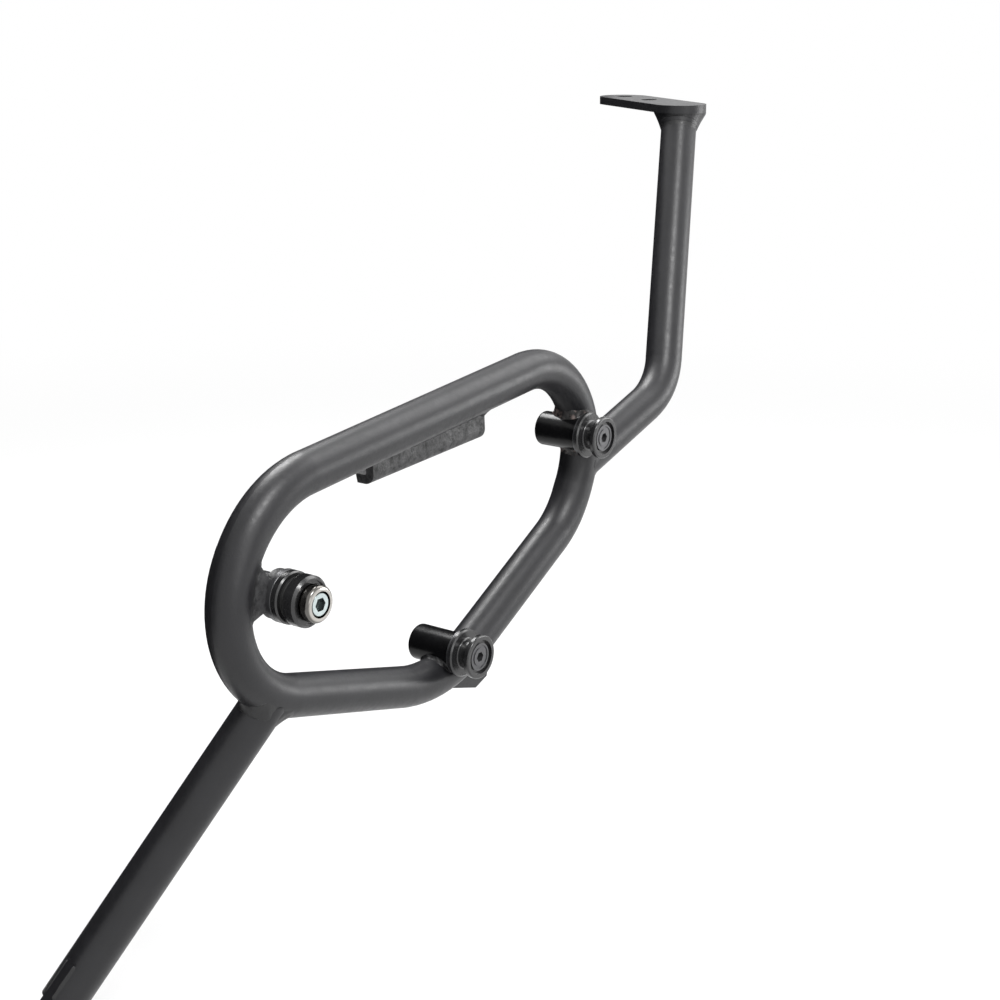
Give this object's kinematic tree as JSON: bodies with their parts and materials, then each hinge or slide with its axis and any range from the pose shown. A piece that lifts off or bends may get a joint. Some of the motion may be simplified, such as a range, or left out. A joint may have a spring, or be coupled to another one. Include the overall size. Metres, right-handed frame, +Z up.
{
  "type": "pannier frame",
  "caption": "Side carrier for a soft motorcycle bag: a bent tube loop with locking pins, a bracket under its upper bar, a front strut and a rear stay.",
  "frame": {"origin": "centre of the bolt hole in the bar bracket, half way through its plate", "axes": "+X to the rear of the motorcycle, +Z up, -Y away from the motorcycle, along the bag's locking pins"},
  "size_m": [0.4911, 0.123, 0.3527],
  "materials": {
    "powder_coat": "satin black powder coat with a fine grain",
    "gloss_black": "glossy black coat",
    "black_anodised": "semi-gloss black over turned metal",
    "black_zinc": "satin black plating",
    "rubber": "matte black rubber",
    "turned_steel": "bright turned steel",
    "zinc": "pale zinc plating"
  },
  "bodies": {
    "root": {"main_loop": "powder_coat", "front_strut": "powder_coat", "strut_eye": "powder_coat", "rear_stay": "powder_coat", "stay_collar": "powder_coat", "rack_plate": "powder_coat", "bar_bracket": "powder_coat", "lower_lug": "powder_coat", "upper_boss": "gloss_black", "lower_boss": "gloss_black", "front_tab": "powder_coat", "front_weld_nut": "powder_coat", "upper_washer": "black_zinc", "upper_pin": "black_anodised", "upper_screw": "black_zinc", "lower_washer": "black_zinc", "lower_pin": "black_anodised", "lower_screw": "black_zinc", "front_washer": "black_zinc", "front_flange": "black_anodised", "front_ring": "rubber", "front_sleeve": "black_anodised", "front_pin": "turned_steel", "front_screw": "zinc"}
  },
  "joints": []
}
